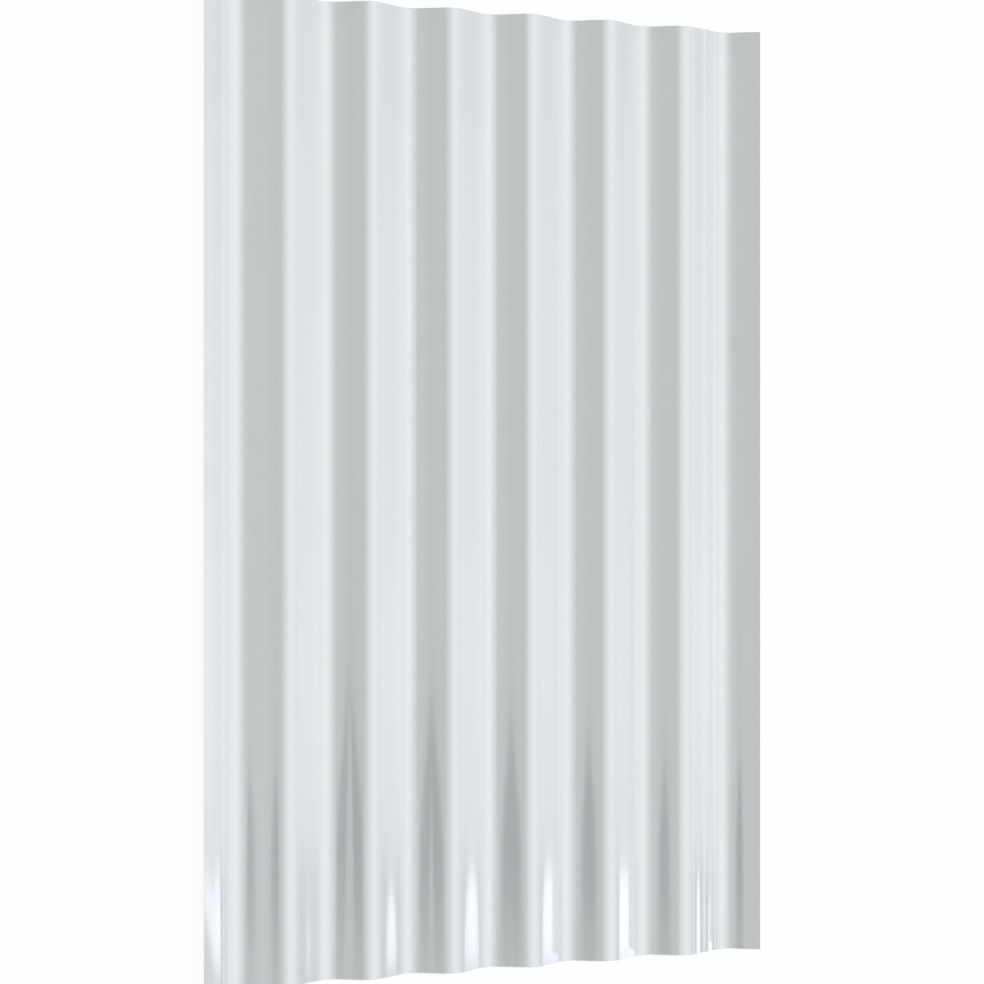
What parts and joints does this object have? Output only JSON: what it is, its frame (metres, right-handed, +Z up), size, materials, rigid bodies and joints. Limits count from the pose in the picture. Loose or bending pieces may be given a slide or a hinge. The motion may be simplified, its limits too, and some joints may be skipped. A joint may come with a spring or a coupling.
{
  "type": "corrugated metal sheet",
  "caption": "Corrugated steel sheet for roofs and walls: rounded waves run its whole length between sheared edges, with a light grey gloss coat.",
  "frame": {"origin": "centre of the sheet's box, on the level surface that its valleys lie on", "axes": "+Y along the waves, +X across them, +Z up from the lying sheet, on its visible face's side"},
  "size_m": [0.532, 0.86, 0.0155],
  "materials": {
    "coated_steel": "light grey gloss polyester coat on galvanised steel"
  },
  "bodies": {
    "root": {"corrugated_sheet": "coated_steel"}
  },
  "joints": []
}
